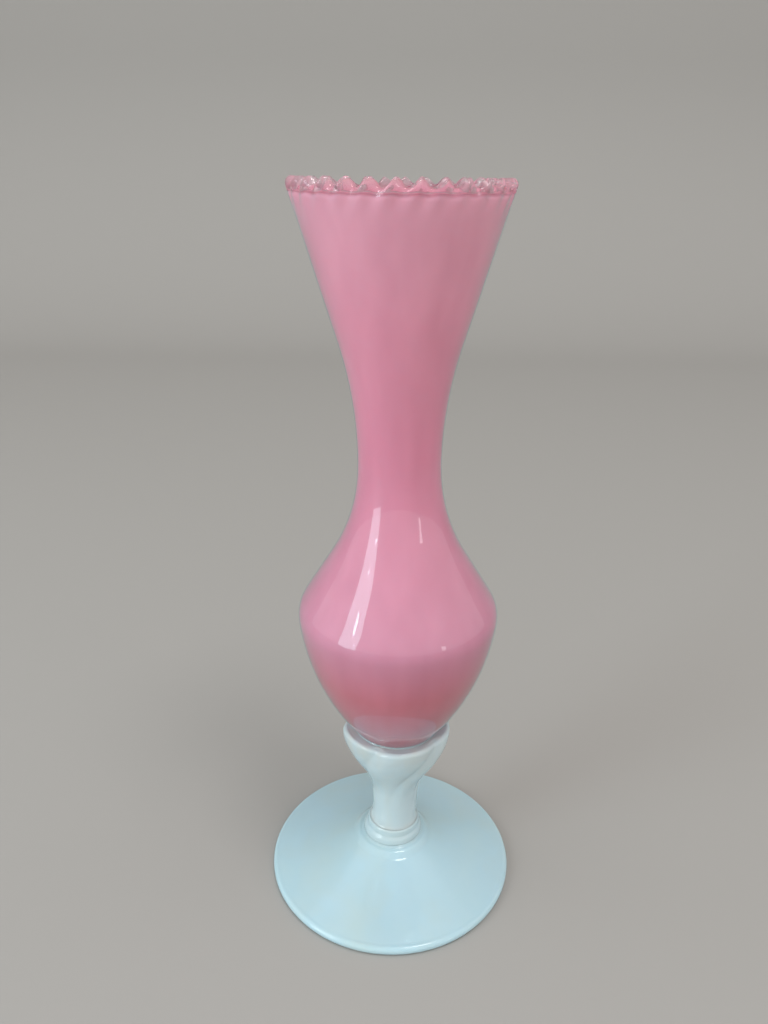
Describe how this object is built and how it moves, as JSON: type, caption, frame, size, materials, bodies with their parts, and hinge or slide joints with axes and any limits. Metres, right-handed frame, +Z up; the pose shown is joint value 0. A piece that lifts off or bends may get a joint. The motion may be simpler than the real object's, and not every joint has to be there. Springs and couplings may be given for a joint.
{
  "type": "glass bud vase",
  "caption": "Slender footed bud vase of cased opaline glass: flared trumpet with a crimped rim, narrow neck, rounded bulb, twisted lobed cup and stem, and a spread foot.",
  "frame": {"origin": "centre of the foot's resting ring, on the table surface", "axes": "+Z up along the vase's axis, from the foot to the rim; -Y is the front, where the widest crease of the cup lies left of centre"},
  "size_m": [0.0772, 0.0772, 0.21],
  "materials": {
    "white_opal": "bluish white opal glass, fire polished",
    "pink_opaline": "rose pink opaline glass, fire polished",
    "clear_casing": "colourless crystal casing, fire polished"
  },
  "bodies": {
    "root": {"foot_disc": "white_opal", "stem_collar": "white_opal", "calyx_stem": "white_opal", "bowl_opaline": "pink_opaline", "bowl_casing": "clear_casing"}
  },
  "joints": []
}
